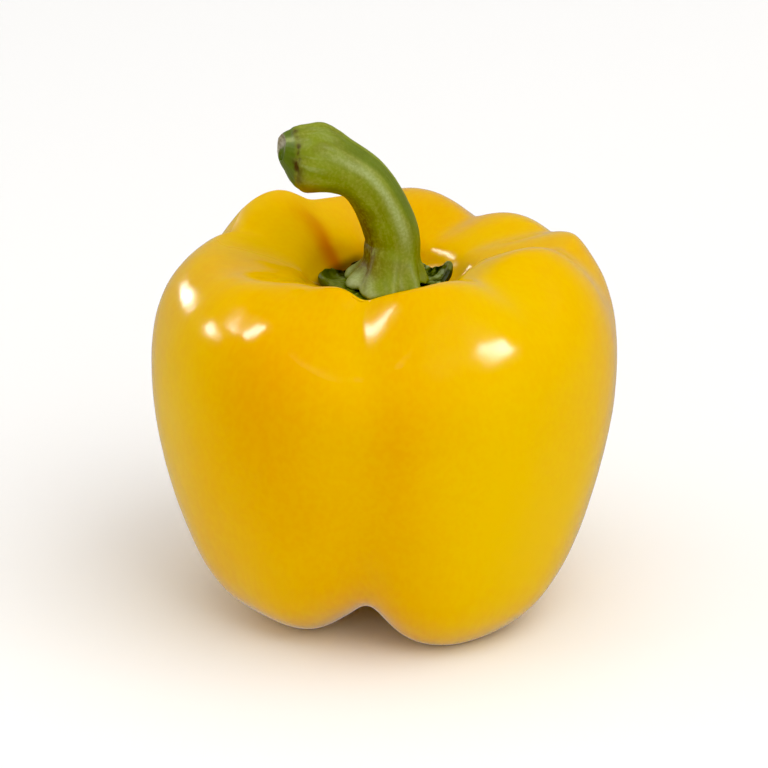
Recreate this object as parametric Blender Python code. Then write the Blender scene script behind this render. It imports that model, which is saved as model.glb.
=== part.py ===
"""A yellow bell pepper standing on its lobes: the fruit, its green calyx and its curved stem.

The frame is in metres with +Z up. The origin is on the floor, below the middle of the fruit.
Sizes below are in millimetres, as they would be measured on the fruit, and MM turns them into metres.
Azimuths are in degrees, counterclockwise from +X when seen from above.
"""

import math
from typing import NamedTuple

import bmesh
import bpy
import numpy as np

MM = 0.001

BELLY_LEVEL = 47.0  # height of the widest part
BLOSSOM_LEVEL = 12.0  # depth of the hollow between the feet, where the flower was
SEAT_LEVEL = 61.5  # flat bottom of the top hollow, under the calyx
SEAT_HALF_WIDTH = 13.4
SEAT_FRONT = 12.8
SEAT_BACK = 9.4
FOOT_SINK = 0.5  # how far each foot is pressed flat where it rests
CREASE_ROUNDING = 3.0  # degrees over which the bottom of a crease is rounded
CREASE_FULL_RADIUS = 20.0  # inside this radius the creases no longer narrow
FRUIT_SEGMENTS = 84
RINGS_PER_SPAN = 3  # rings of faces between two points of the profile

PIECE_GAP = 0.35  # clearance between pieces that lie on each other
CALYX_CLEARANCE = 0.6  # between its edge and the foot of the hollow's wall
CALYX_THICKNESS = 1.0
CALYX_RIM_HEIGHT = 2.4  # how far the curled edge stands above the flat of the calyx
CALYX_SEGMENTS = 60

STEM_SEGMENTS = 54
STEM_RINGS_PER_SPAN = 2
STEM_RIBS = 5
STEM_RIB_SHARE = 0.03  # how far a rib stands out, as a share of the radius
FOOT_RIBS = 9
FOOT_RIB_SHARE = 0.09
FOOT_RIB_LENGTH = 0.09  # share of the stem's length over which the foot's ribs die out
FOOT_RIB_AZIMUTH = 215.0  # one of the foot's ribs points this way, and the others follow from it
KNOB_RIBS = 11
KNOB_RIB_SHARE = 0.02
KNOB_PLACE = 0.80  # share of the stem's length at which its end is thickest
KNOB_LENGTH = 0.12
CUT_FACING = np.array([-0.96, -0.26, 0.10])
CUT_TURN = 0.16  # share of the stem's length over which its rings turn to face that way
FOOT_TURN = 0.22  # share over which they turn from level, at the foot
CUT_LIP = 0.78  # inner edge of the cut's rim, as a share of the cut's radius
CUT_PITH = 0.70  # the same for the pith inside it
CUT_RECESS = 0.7  # how far the pith has shrunk below the rim


# The wall between the named points of a Lobe: share of the way out or in, and share of the way up or down.
FOOT_TO_BELLY = ((0.30, 0.05), (0.57, 0.163), (0.76, 0.347), (0.92, 0.633))
BELLY_TO_CREST = ((0.14, 0.55), (0.52, 0.87))
CREST_TO_SEAT = ((0.55, 0.235), (0.90, 0.60))
# The same two stretches where the shoulder rolls tightly into the hollow.
TIGHT_BELLY_TO_CREST = ((0.15, 0.47), (0.60, 0.82))
TIGHT_CREST_TO_SEAT = ((0.40, 0.30), (0.82, 0.70))
# The hollow between the feet: share of the foot's radius, and height above the foot.
FOOT_TO_BLOSSOM = ((0.45, 6.0), (0.75, 1.5))
# The floor of the top hollow: share of its radius, and height above its level.
SEAT_FLOOR = ((0.95, 0.2), (0.72, -0.1), (0.40, 0.0), (0.0, 0.0))


class Lobe(NamedTuple):
    """The profile of the fruit wall at one azimuth. Between two of them the wall blends smoothly."""

    azimuth: float
    belly: float  # radius at the widest level
    top: float  # height of the shoulder's crest
    crest: float  # radius of that crest
    foot: float  # radius of the lowest point
    lift: float  # height of the lowest point, before the creases are pressed in
    roll: float = 0.0  # 0 for a broad shoulder, to 1 for one that rolls tightly into the hollow


class Crease(NamedTuple):
    """A furrow between two lobes: at each place its azimuth, its depth and its half width in degrees."""

    foot: tuple
    belly: tuple
    top: tuple
    hollow: tuple  # on the inner wall, above the calyx


class Wave(NamedTuple):
    """Slight unevenness of the grown wall: humps round the fruit and up it, and their height."""

    around: float
    up: float
    height: float
    phase: float


class Edge(NamedTuple):
    """A tooth of the calyx or a notch between two teeth."""

    azimuth: float
    reach: float  # share of the way to the wall of the hollow
    curl: float  # share of the full height of the upturned edge


class Station(NamedTuple):
    """A point of the stem's centre line, and the stem's radius there."""

    x: float
    y: float
    z: float
    radius: float


LOBES = (
    Lobe(azimuth=10, belly=44.0, top=71.2, crest=34.5, foot=20.5, lift=0.0),
    Lobe(azimuth=38, belly=43.0, top=70.3, crest=29.0, foot=21.0, lift=-2.6),
    Lobe(azimuth=77, belly=41.5, top=71.4, crest=26.0, foot=21.0, lift=-1.5),
    Lobe(azimuth=106, belly=41.5, top=70.6, crest=26.5, foot=21.0, lift=-0.6),
    Lobe(azimuth=137, belly=41.6, top=73.8, crest=28.0, foot=21.0, lift=-1.2),
    Lobe(azimuth=180, belly=43.1, top=68.3, crest=31.0, foot=20.8, lift=1.5),
    Lobe(azimuth=212, belly=43.2, top=68.6, crest=29.4, foot=22.2, lift=0.2),
    Lobe(azimuth=232, belly=43.0, top=69.2, crest=25.2, foot=22.7, lift=0.2),
    Lobe(azimuth=257, belly=43.0, top=71.4, crest=24.0, foot=22.2, lift=1.7, roll=0.9),
    Lobe(azimuth=285, belly=43.0, top=71.8, crest=25.5, foot=26.2, lift=0.1, roll=0.9),
    Lobe(azimuth=318, belly=43.0, top=70.3, crest=24.4, foot=27.4, lift=0.6),
    Lobe(azimuth=346, belly=43.5, top=73.0, crest=28.0, foot=22.8, lift=2.0),
)

CREASES = (
    Crease(foot=(263, 5.5, 13), belly=(265.5, 1.6, 12), top=(261, 3.6, 12), hollow=(261, 2.2, 14)),
    Crease(foot=(318, 0.0, 12), belly=(318, 0.2, 12), top=(318, 1.6, 8), hollow=(318, 0.8, 12)),
    Crease(foot=(358, 3.0, 12), belly=(358, 0.8, 12), top=(359, 3.6, 8), hollow=(362, 2.6, 10)),
    Crease(foot=(22, 2.0, 10), belly=(22, 0.6, 9), top=(23, 3.0, 8), hollow=(27, 1.6, 10)),
    Crease(foot=(56, 6.0, 14), belly=(56, 2.0, 12), top=(55, 4.4, 11), hollow=(54, 2.4, 13)),
    Crease(foot=(92, 1.0, 10), belly=(92, 0.3, 10), top=(93, 2.6, 9), hollow=(94, 1.6, 12)),
    Crease(foot=(122, 3.0, 12), belly=(122, 0.8, 12), top=(121, 2.6, 9), hollow=(134, 3.4, 15)),
    Crease(foot=(156, 6.0, 14), belly=(155, 2.0, 13), top=(153, 5.0, 8), hollow=(160, 0.6, 12)),
)

WAVES = (
    Wave(around=5, up=3, height=0.30, phase=0.7),
    Wave(around=8, up=2, height=0.20, phase=-1.1),
    Wave(around=13, up=5, height=0.12, phase=2.0),
)

CALYX_EDGE = (
    Edge(azimuth=2, reach=1.00, curl=1.20),
    Edge(azimuth=26, reach=0.80, curl=0.40),
    Edge(azimuth=58, reach=0.96, curl=0.40),
    Edge(azimuth=88, reach=0.80, curl=0.25),
    Edge(azimuth=118, reach=0.96, curl=0.30),
    Edge(azimuth=156, reach=0.72, curl=0.30),
    Edge(azimuth=188, reach=1.00, curl=0.95),
    Edge(azimuth=220, reach=0.88, curl=0.30),
    Edge(azimuth=250, reach=0.98, curl=0.08),
    Edge(azimuth=282, reach=0.93, curl=0.08),
    Edge(azimuth=312, reach=0.98, curl=0.30),
    Edge(azimuth=340, reach=0.90, curl=0.35),
)

STEM = (
    Station(x=0.4, y=-2.2, z=63.3, radius=7.5),
    Station(x=0.5, y=-1.8, z=64.1, radius=7.0),
    Station(x=0.7, y=-1.2, z=65.3, radius=6.4),
    Station(x=1.0, y=-0.5, z=67.0, radius=5.7),
    Station(x=1.5, y=0.0, z=69.3, radius=5.2),
    Station(x=1.1, y=0.0, z=72.2, radius=5.0),
    Station(x=-0.5, y=-0.2, z=76.6, radius=4.8),
    Station(x=-2.5, y=-0.4, z=80.3, radius=4.7),
    Station(x=-4.8, y=-0.6, z=82.9, radius=4.75),
    Station(x=-8.4, y=-0.9, z=84.9, radius=5.3),
    Station(x=-11.7, y=-1.2, z=86.3, radius=6.3),
    Station(x=-13.5, y=-1.3, z=86.7, radius=6.3),
    Station(x=-15.5, y=-1.4, z=87.2, radius=5.6),
    Station(x=-17.3, y=-1.5, z=87.9, radius=4.5),
    Station(x=-19.0, y=-1.6, z=88.7, radius=2.8),
)


def ease(t):
    """0 to 1 with no kink at either end, for t from 0 to 1."""
    t = np.clip(t, 0.0, 1.0)
    return t**3 * (t * (6.0 * t - 15.0) + 10.0)


def natural_spline(knots, values, at):
    """The smoothest curve through values[k] at knots[k], read at the places in at."""
    gaps = np.diff(knots)
    count = len(knots)
    system = np.eye(count)
    bends = np.zeros(values.shape)
    for k in range(1, count - 1):
        system[k, k - 1 : k + 2] = gaps[k - 1], 2.0 * (gaps[k - 1] + gaps[k]), gaps[k]
        rise, fall = (values[k + 1] - values[k]) / gaps[k], (values[k] - values[k - 1]) / gaps[k - 1]
        bends[k] = 6.0 * (rise - fall)
    bends = np.linalg.solve(system, bends.reshape(count, -1)).reshape(values.shape)
    span = np.clip(np.searchsorted(knots, at, side="right") - 1, 0, count - 2)
    column = (-1,) + (1,) * (values.ndim - 1)
    gap = gaps[span].reshape(column)
    after = (at - knots[span]).reshape(column)
    before = gap - after
    return (
        (bends[span] * before**3 + bends[span + 1] * after**3) / (6.0 * gap)
        + (values[span] / gap - bends[span] * gap / 6.0) * before
        + (values[span + 1] / gap - bends[span + 1] * gap / 6.0) * after
    )


def ring_values(kind, places, azimuths):
    """Each field of the places round the fruit, blended smoothly to these azimuths, as a dict of arrays.

    A value that rises or falls through a place keeps its slope there, and never overshoots the places.
    """
    ring = [place._replace(azimuth=place.azimuth + turn) for turn in (-360, 0, 360) for place in places]
    known = np.array([place.azimuth for place in ring])
    gaps = np.diff(known)
    before = np.searchsorted(known, azimuths, side="right") - 1
    gap = gaps[before]
    t = (azimuths - known[before]) / gap
    # Each of these has a slope of 1 at one end and of 0 at the other, and is 0 without a bend at both.
    leaving = t - 6.0 * t**3 + 8.0 * t**4 - 3.0 * t**5
    arriving = -4.0 * t**3 + 7.0 * t**4 - 3.0 * t**5
    found = {}
    for field in kind._fields[1:]:
        value = np.array([getattr(place, field) for place in ring])
        rise = np.diff(value) / gaps
        both = rise[:-1] * rise[1:]
        total = np.where(both > 0.0, rise[:-1] + rise[1:], 1.0)
        slope = np.concatenate([[0.0], np.where(both > 0.0, 2.0 * both / total, 0.0), [0.0]])
        found[field] = (
            value[before]
            + (value[before + 1] - value[before]) * ease(t)
            + gap * (slope[before] * leaving + slope[before + 1] * arriving)
        )
    return found


def seat_radius(azimuths):
    """Radius of the flat bottom of the top hollow: an oval, deeper in front of the stem than behind it."""
    across, along = np.cos(np.radians(azimuths)), np.sin(np.radians(azimuths))
    depth = np.where(along < 0.0, SEAT_FRONT, SEAT_BACK)
    return 1.0 / np.hypot(across / SEAT_HALF_WIDTH, along / depth)


def stretch(broad, tight, roll):
    """The points of a stretch of the wall, from those of its broad form to those of its tight one."""
    for (across, along), (tight_across, tight_along) in zip(broad, tight):
        yield across + roll * (tight_across - across), along + roll * (tight_along - along)


def ridge_profile(azimuths):
    """Radius and height of the wall from the blossom end to the seat, before the creases are pressed in."""
    v = ring_values(Lobe, LOBES, azimuths)
    seat = seat_radius(azimuths)
    level = np.ones_like(azimuths)
    foot, belly, crest = v["foot"], v["belly"], v["crest"]
    points = [(0.0 * level, BLOSSOM_LEVEL * level)]
    points += [(share * foot, v["lift"] + above) for share, above in FOOT_TO_BLOSSOM]
    points.append((foot, v["lift"]))
    for out, up in FOOT_TO_BELLY:
        points.append((foot + out * (belly - foot), v["lift"] + up * (BELLY_LEVEL - v["lift"])))
    points.append((belly, BELLY_LEVEL * level))
    for inward, up in stretch(BELLY_TO_CREST, TIGHT_BELLY_TO_CREST, v["roll"]):
        points.append((belly + inward * (crest - belly), BELLY_LEVEL + up * (v["top"] - BELLY_LEVEL)))
    points.append((crest, v["top"]))
    for inward, down in stretch(CREST_TO_SEAT, TIGHT_CREST_TO_SEAT, v["roll"]):
        points.append((crest + inward * (seat - crest), v["top"] + down * (SEAT_LEVEL - v["top"])))
    points += [(share * seat, (SEAT_LEVEL + above) * level) for share, above in SEAT_FLOOR]
    return np.array(points)


FOOT_POINT = len(FOOT_TO_BLOSSOM) + 1
BELLY_POINT = FOOT_POINT + len(FOOT_TO_BELLY) + 1
CREST_POINT = BELLY_POINT + len(BELLY_TO_CREST) + 1
HOLLOW_POINT = CREST_POINT + len(CREST_TO_SEAT)


def wall_waves(azimuths, share):
    """Height of the unevenness. share runs from 0 at the blossom end to 1 in the middle of the seat."""
    turn = np.radians(azimuths)[None, :]
    up = np.pi * share[:, None]
    humps = (wave.height * np.sin(wave.around * turn + wave.phase) * np.sin(wave.up * up) for wave in WAVES)
    return sum(humps)


def fruit_wall(azimuths, rings_per_span):
    """Points of the wall in millimetres: rings from the blossom end to the seat, a point for each azimuth."""
    points = ridge_profile(azimuths)
    steps = np.diff(points.mean(axis=2), axis=0)
    reach = np.concatenate([[0.0], np.cumsum(np.hypot(steps[:, 0], steps[:, 1]))])
    # The profile goes on across the axis at both ends, which keeps the wall smooth there.
    across = np.array([-1.0, 1.0])[None, :, None]
    points = np.concatenate([points[2:0:-1] * across, points, points[-2:-4:-1] * across])
    knots = np.concatenate([-reach[2:0:-1], reach, 2.0 * reach[-1] - reach[-2:-4:-1]])
    spans = len(reach) - 1
    along = np.interp(np.linspace(0, spans, spans * rings_per_span + 1), range(spans + 1), reach)
    wall = natural_spline(knots, points, along)

    tiny = 1e-3
    tangent = natural_spline(knots, points, along + tiny) - natural_spline(knots, points, along - tiny)
    tangent /= np.linalg.norm(tangent, axis=1, keepdims=True)
    outward = np.stack([tangent[:, 1], -tangent[:, 0]], axis=1)

    below = ease((reach[BELLY_POINT] - along) / (reach[BELLY_POINT] - reach[FOOT_POINT]))
    above = ease((along - reach[BELLY_POINT]) / (reach[CREST_POINT] - reach[BELLY_POINT]))
    inside = ease((along - reach[CREST_POINT]) / (reach[HOLLOW_POINT] - reach[CREST_POINT]))
    fade = ease(along / reach[FOOT_POINT]) * ease((reach[-1] - along) / (reach[-1] - reach[CREST_POINT]))
    # A crease keeps its width in millimetres where the wall narrows towards its two poles.
    radius = wall[:, 0].mean(axis=1)
    widening = CREASE_FULL_RADIUS / np.clip(radius, 0.25 * CREASE_FULL_RADIUS, CREASE_FULL_RADIUS)
    pressed = np.zeros(wall[:, 0].shape)
    for crease in CREASES:
        foot, belly, top, hollow = (np.array(place)[:, None] for place in crease)
        outside = belly + (foot - belly) * below + (top - belly) * above
        centre, depth, width = outside + (hollow - top) * inside
        away = (azimuths[None, :] - centre[:, None] + 180.0) % 360.0 - 180.0
        away = np.hypot(away, CREASE_ROUNDING) - CREASE_ROUNDING
        pressed += (depth * fade)[:, None] * np.exp(-away / (width * widening)[:, None])
    pressed -= wall_waves(azimuths, along / reach[-1]) * fade[:, None]
    wall = wall - outward * pressed[:, None]

    turn = np.radians(azimuths)[None, :]
    return np.stack([wall[:, 0] * np.cos(turn), wall[:, 0] * np.sin(turn), wall[:, 1]], axis=-1)


def place_on_sphere(bm, rings):
    """Moves the vertices of a UV sphere to the points in rings, pole to pole."""
    count, segments = rings.shape[:2]
    for vert in bm.verts:
        latitude = math.asin(max(-1.0, min(1.0, vert.co.z)))
        ring = round((latitude / math.pi + 0.5) * (count - 1))
        segment = round(math.atan2(vert.co.y, vert.co.x) / math.tau * segments) % segments
        vert.co = rings[ring, segment] * MM


def press_feet_flat(bm):
    """Cuts the feet off at the floor and closes the cuts, which leaves flat spots to rest on."""
    everything = bm.verts[:] + bm.edges[:] + bm.faces[:]
    cut = bmesh.ops.bisect_plane(
        bm, geom=everything, dist=1e-6, plane_co=(0, 0, 0), plane_no=(0, 0, -1), clear_outer=True
    )
    open_edges = [e for e in cut["geom_cut"] if isinstance(e, bmesh.types.BMEdge) and e.is_boundary]
    bmesh.ops.holes_fill(bm, edges=open_edges)


def build_fruit():
    """The one-piece yellow body, with the hollow on top and the feet below."""
    azimuths = np.arange(FRUIT_SEGMENTS) * 360.0 / FRUIT_SEGMENTS
    rings = fruit_wall(azimuths, RINGS_PER_SPAN)
    rings[..., 2] -= FOOT_SINK
    bm = bmesh.new()
    bmesh.ops.create_uvsphere(bm, u_segments=FRUIT_SEGMENTS, v_segments=len(rings) - 1, radius=1.0)
    place_on_sphere(bm, rings)
    press_feet_flat(bm)
    return bm


def loft(bm, rings):
    """A closed body through rings of points, from its first cap to its last. Rings are in millimetres."""
    segments = rings.shape[1]
    first = bmesh.ops.create_circle(bm, cap_ends=True, radius=1.0, segments=segments)["verts"]
    order = sorted(first, key=lambda vert: math.atan2(vert.co.y, vert.co.x) % math.tau)
    for vert, point in zip(order, rings[0]):
        vert.co = point * MM
    for ring in rings[1:]:
        edges = [bm.edges.get((order[k], order[(k + 1) % segments])) for k in range(segments)]
        made = bmesh.ops.extrude_edge_only(bm, edges=edges)["geom"]
        new = {v for v in made if isinstance(v, bmesh.types.BMVert)}
        order = [next(e.other_vert(v) for e in v.link_edges if e.other_vert(v) in new) for v in order]
        for vert, point in zip(order, ring):
            vert.co = point * MM
    bm.faces.new(order)
    bmesh.ops.recalc_face_normals(bm, faces=bm.faces)


def calyx_edge(azimuths):
    """Radius of the calyx's ragged edge and how far it curls up, at each azimuth."""
    turn = np.radians(azimuths)
    v = ring_values(Edge, CALYX_EDGE, azimuths)
    crumple = np.sin(11.0 * turn + 1.0) + 0.7 * np.sin(17.0 * turn)
    reach = (seat_radius(azimuths) - CALYX_CLEARANCE) * (v["reach"] + 0.012 * (crumple - 1.7))
    return reach, CALYX_RIM_HEIGHT * v["curl"] * (1.0 + 0.12 * crumple)


def calyx_rings():
    """Rings of points round the calyx's thickness, from the middle of its underside to that of its top."""
    azimuths = np.arange(CALYX_SEGMENTS) * 360.0 / CALYX_SEGMENTS
    edge, curl = calyx_edge(azimuths)
    under = SEAT_LEVEL - FOOT_SINK + PIECE_GAP
    # Share of the radius, share of the thickness, and share of the curl that is added there.
    section = (
        (0.55, 0.00, 0.00),
        (0.85, 0.00, 0.00),
        (0.96, 0.20, 0.12),
        (1.00, 0.45, 0.55),
        (1.00, 0.60, 0.92),
        (0.97, 0.80, 1.00),
        (0.93, 0.95, 0.90),
        (0.90, 1.00, 0.45),
        (0.84, 1.00, 0.10),
        (0.62, 1.00, 0.00),
    )
    turn = np.radians(azimuths)
    rings = []
    for share, thick, curled in section:
        height = under + CALYX_THICKNESS * thick + curl * curled
        radius = edge * share
        rings.append(np.stack([radius * np.cos(turn), radius * np.sin(turn), height], axis=-1))
    return np.array(rings)


def build_calyx():
    """The green disc in the hollow under the stem, with a ragged edge curled up against the fruit."""
    bm = bmesh.new()
    loft(bm, calyx_rings())
    return bm


def stem_frames(rings_per_span):
    """Centre, radius and two cross directions of each ring along the stem, in millimetres."""
    stations = np.array(STEM)
    steps = np.linalg.norm(np.diff(stations[:, :3], axis=0), axis=1)
    reach = np.concatenate([[0.0], np.cumsum(steps)])
    spans = len(reach) - 1
    along = np.interp(np.linspace(0, spans, spans * rings_per_span + 1), range(spans + 1), reach)
    line = natural_spline(reach, stations, along)
    tiny = 1e-3
    ahead = natural_spline(reach, stations, along + tiny) - natural_spline(reach, stations, along - tiny)
    tangent = ahead[:, :3] / np.linalg.norm(ahead[:, :3], axis=1, keepdims=True)
    # The rings lie level at the foot and face the way of the cut at the end.
    level = ease(1.0 - along / reach[-1] / FOOT_TURN)[:, None]
    turned = ease((along / reach[-1] - 1.0 + CUT_TURN) / CUT_TURN)[:, None]
    tangent = tangent * (1.0 - level - turned) + np.array([0.0, 0.0, 1.0]) * level + CUT_FACING * turned
    tangent /= np.linalg.norm(tangent, axis=1, keepdims=True)
    across = np.cross(tangent, np.array([0.0, 1.0, 0.0]))
    across /= np.linalg.norm(across, axis=1, keepdims=True)
    other = np.cross(tangent, across)
    return line[:, :3], line[:, 3], across, other, along / reach[-1]


def stem_ribs(turn, share):
    """Radius round a ring as a share of its mean. Its ribs are strong where the stem spreads at its foot."""
    foot = FOOT_RIB_SHARE * math.exp(-((share / FOOT_RIB_LENGTH) ** 2))
    knob = KNOB_RIB_SHARE * math.exp(-(((share - KNOB_PLACE) / KNOB_LENGTH) ** 2))
    foot_ribs = foot * np.cos(FOOT_RIBS * (turn - math.radians(FOOT_RIB_AZIMUTH)))
    return 1.0 + foot_ribs + STEM_RIB_SHARE * np.cos(STEM_RIBS * turn + 1.0) + knob * np.cos(KNOB_RIBS * turn)


def stem_rings():
    """Rings of points along the stem, from its foot to the shrunken pith inside the cut."""
    turn = np.arange(STEM_SEGMENTS) * math.tau / STEM_SEGMENTS
    rings = []
    for centre, radius, across, other, share in zip(*stem_frames(STEM_RINGS_PER_SPAN)):
        spoke = np.cos(turn)[:, None] * across + np.sin(turn)[:, None] * other
        rings.append(centre + (radius * stem_ribs(turn, share))[:, None] * spoke)
    rings = np.array(rings)
    rings[0, :, 2] = STEM[0].z - FOOT_SINK
    end, middle = rings[-1], rings[-1].mean(axis=0)
    inward = (rings[-2].mean(axis=0) - middle) / np.linalg.norm(rings[-2].mean(axis=0) - middle)
    lip = middle + (end - middle) * CUT_LIP
    pith = middle + (end - middle) * CUT_PITH + inward * CUT_RECESS
    return np.concatenate([rings, [lip], [pith]])


def build_stem():
    """The ribbed stem: spread onto the calyx, bent to one side, and swollen at the end that was cut."""
    bm = bmesh.new()
    loft(bm, stem_rings())
    return bm


def finish(name, colour, roughness):
    """A material for one piece."""
    material = bpy.data.materials.new(name)
    material.use_nodes = True
    shader = material.node_tree.nodes["Principled BSDF"]
    shader.inputs["Base Color"].default_value = (*colour, 1.0)
    shader.inputs["Roughness"].default_value = roughness
    shader.inputs["Metallic"].default_value = 0.0
    return material


def add_piece(name, bm, material):
    """Turns the finished bmesh into a smooth-shaded object in the scene."""
    mesh = bpy.data.meshes.new(name)
    bm.to_mesh(mesh)
    bm.free()
    mesh.shade_smooth()
    mesh.set_sharp_from_angle(angle=math.radians(50))
    mesh.materials.append(material)
    piece = bpy.data.objects.new(name, mesh)
    bpy.context.scene.collection.objects.link(piece)
    return piece


def centre_on_origin(fruit, others):
    """Moves all pieces sideways together, so that the fruit's box stands with its middle over the origin."""
    points = np.array([vert.co for vert in fruit.data.vertices])
    middle = (points.min(axis=0) + points.max(axis=0)) / 2.0
    for piece in (fruit, *others):
        for vert in piece.data.vertices:
            vert.co.x -= middle[0]
            vert.co.y -= middle[1]


def main():
    """Clears the scene and builds the pepper."""
    for old in list(bpy.data.objects):
        bpy.data.objects.remove(old)
    skin = finish("yellow_skin", (0.86, 0.48, 0.003), 0.18)
    leaf = finish("calyx_green", (0.05, 0.14, 0.02), 0.5)
    stalk = finish("stem_green", (0.22, 0.32, 0.04), 0.45)
    fruit = add_piece("fruit", build_fruit(), skin)
    calyx = add_piece("calyx", build_calyx(), leaf)
    stem = add_piece("stem", build_stem(), stalk)
    centre_on_origin(fruit, (calyx, stem))


main()
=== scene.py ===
"""A yellow bell pepper on a white table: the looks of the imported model.

The frame is that of the CAD model, in metres, with +Z up and the origin on the table under the fruit.
Sizes of the pieces and the studio are in millimetres, and MM turns them into metres.
Sizes and depths of the patterns in the finishes are in metres.
Azimuths are in degrees, counterclockwise from +X when seen from above, and elevations are above the horizon.
"""

import logging
import math
from dataclasses import dataclass
from enum import Enum

import bmesh
import bpy
import numpy as np
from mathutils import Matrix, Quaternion, Vector, noise


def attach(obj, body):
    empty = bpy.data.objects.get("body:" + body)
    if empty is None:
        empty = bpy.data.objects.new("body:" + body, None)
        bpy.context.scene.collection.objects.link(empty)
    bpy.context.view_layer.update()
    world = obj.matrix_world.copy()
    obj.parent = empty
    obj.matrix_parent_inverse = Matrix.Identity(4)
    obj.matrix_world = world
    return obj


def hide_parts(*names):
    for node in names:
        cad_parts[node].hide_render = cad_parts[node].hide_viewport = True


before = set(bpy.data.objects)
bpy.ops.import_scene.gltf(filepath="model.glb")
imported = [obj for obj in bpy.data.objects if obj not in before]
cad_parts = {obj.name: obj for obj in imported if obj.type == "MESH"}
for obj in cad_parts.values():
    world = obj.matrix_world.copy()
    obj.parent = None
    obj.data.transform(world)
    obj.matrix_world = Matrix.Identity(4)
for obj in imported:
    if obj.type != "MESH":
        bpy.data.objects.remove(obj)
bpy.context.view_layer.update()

log = logging.getLogger("pepper")

MM = 0.001
WELD = 1e-6
NEARLY_NOTHING = 1e-9
BODY = "root"

# How far two triangles may bend and lean, in degrees, and still be joined to one face.
JOIN_BEND = 50.0
JOIN_LEAN = 70.0

# Places of the colour sockets on a Mix node, whose names are shared by its sockets of other kinds.
MIX_FIRST = 6
MIX_SECOND = 7
MIX_RESULT = 2

Colour = tuple[float, float, float]
Array = np.ndarray
Socket = bpy.types.NodeSocket

# The low and high end of a range of values, and what they become.
Range = tuple[float, float, float, float]


class Layer(Enum):
    """Values that a piece's points carry for its material to read."""

    FLOW = "flow"
    # Ripeness, with painted light and shade mixed in.
    BLUSH_AND_SHADING = "blush"
    # Painted shade in the fold behind the stem and round the foot of the hollow.
    FOLD = "fold"
    # Scars, and on the fruit also the painted shadow in the gap round the calyx.
    SCAR = "scar"
    # Painted light and shade on the calyx's wrinkles.
    CREST = "crest"
    # Painted shade: the calyx's back in the gap under the fruit, and, with olive, the stem's inner side.
    SHADE = "shade"
    CUT = "cut"
    # Pale ribs, and the painted sheen (a painted highlight) along the stem.
    PALE_AND_SHEEN = "pale"
    STAIN = "stain"
    DULL = "dull"
    # Fresh green, and painted light at the calyx's left.
    FRESH_AND_PAINTED_LIGHT = "fresh"
    DARK = "dark"


class Join(Enum):
    """How two values of a material are joined."""

    ADD = "ADD"
    MULTIPLY = "MULTIPLY"


class Lamp(Enum):
    """What a soft light is for: to be mirrored in glossy surfaces, or only to brighten them."""

    MIRRORED = "mirrored"
    FILL = "fill"


def ease(value: Array) -> Array:
    """0 to 1 with no kink at either end, for values from 0 to 1."""
    value = np.clip(value, 0.0, 1.0)
    return value * value * (3.0 - 2.0 * value)


def hump(value: Array, middle: float, width: float | Array) -> Array:
    """1 at the middle, falling smoothly to nothing a few widths away."""
    return np.exp(-(((value - middle) / width) ** 2))


def turn_between(turns: Array, turn: float | Array) -> Array:
    """How far each direction is from another one, in degrees, from -180 to 180."""
    return (turns - turn + 180.0) % 360.0 - 180.0


def grain(points: Array, size: float, octaves: int = 2) -> Array:
    """Smooth unevenness at each point.

    Args:
        points: Places, one row each.
        size: Distance from one hump to the next, in the unit of the points.
        octaves: How many finer layers are added up.

    Returns:
        A value near -1 to 1 for each point.
    """
    return np.array([noise.fractal(Vector(p), 1.0, 2.0, octaves) for p in points / size])


@dataclass(frozen=True)
class Ramp:
    """A smooth climb from 0 to 1.

    Attributes:
        start: The value where it is 0.
        length: How much further the value is where it is 1, or how much less if this is negative.
    """

    start: float
    length: float

    def at(self, value: Array) -> Array:
        """How far up the ramp each value is."""
        return ease((value - self.start) / self.length)


@dataclass(frozen=True)
class Band:
    """A band that fades to both sides.

    Attributes:
        middle: The value in its middle.
        width: How wide it is to one side.
    """

    middle: float
    width: float

    def at(self, value: Array) -> Array:
        """How much each value is in the band, from 0 to 1."""
        return hump(value, self.middle, self.width)

    def around(self, turns: Array) -> Array:
        """How much each direction in degrees is in the band, from 0 to 1."""
        return hump(turn_between(turns, self.middle), 0.0, self.width)


@dataclass(frozen=True)
class Sector:
    """A part of the way round a piece.

    Attributes:
        middle: Direction of its middle, in degrees.
        reach: How far from its middle it ends, in degrees.
        fade: Over how many degrees it fades before it ends.
    """

    middle: float
    reach: float
    fade: float

    def around(self, turns: Array) -> Array:
        """How much each direction is in the sector, from 0 to 1."""
        return ease((self.reach - np.abs(turn_between(turns, self.middle))) / self.fade)


@dataclass(frozen=True)
class Patch:
    """A patch on a piece that fades all round.

    Attributes:
        turn: Direction of its middle round the piece, in degrees.
        along: Place of its middle in the measure that it goes by, such as the height above the table.
        spread: How wide it is, in degrees.
        reach: How long it is, in the same measure as along.
        strength: Its value in the middle, which may be negative.
    """

    turn: float
    along: float
    spread: float
    reach: float
    strength: float

    def at(self, turns: Array, along: Array) -> Array:
        """The patch's value at each place."""
        away = turn_between(turns, self.turn)
        return self.strength * hump(away, 0.0, self.spread) * hump(along, self.along, self.reach)


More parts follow.
